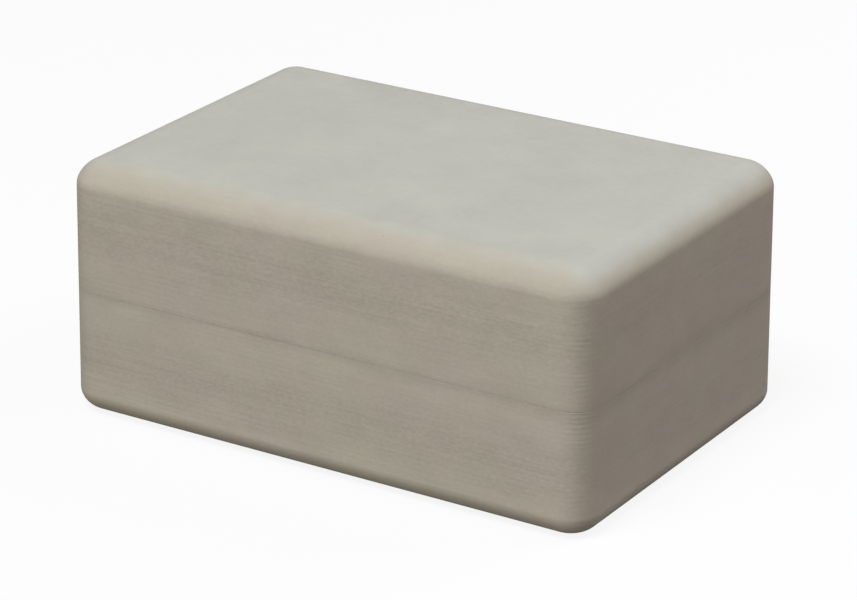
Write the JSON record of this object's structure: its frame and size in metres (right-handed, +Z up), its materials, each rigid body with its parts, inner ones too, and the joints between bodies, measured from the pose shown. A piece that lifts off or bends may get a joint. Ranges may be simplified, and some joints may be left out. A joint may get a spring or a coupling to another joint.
{
  "type": "foam exercise block",
  "caption": "Firm rectangular foam support block with rounded edges, glued up from slabs with a seam at mid height, for yoga, stretching and floor exercise.",
  "frame": {"origin": "middle of the underside, on the surface that the block rests on", "axes": "+X along the length, +Y across the width, +Z up through the height from the underside to the top"},
  "size_m": [0.2286, 0.1524, 0.1016],
  "materials": {
    "upper_foam": "matte closed-cell foam",
    "lower_foam": "matte closed-cell foam",
    "adhesive": "cured adhesive, matte"
  },
  "bodies": {
    "root": {"upper_slab": "upper_foam", "lower_slab": "lower_foam", "bond_film": "adhesive"}
  },
  "joints": []
}
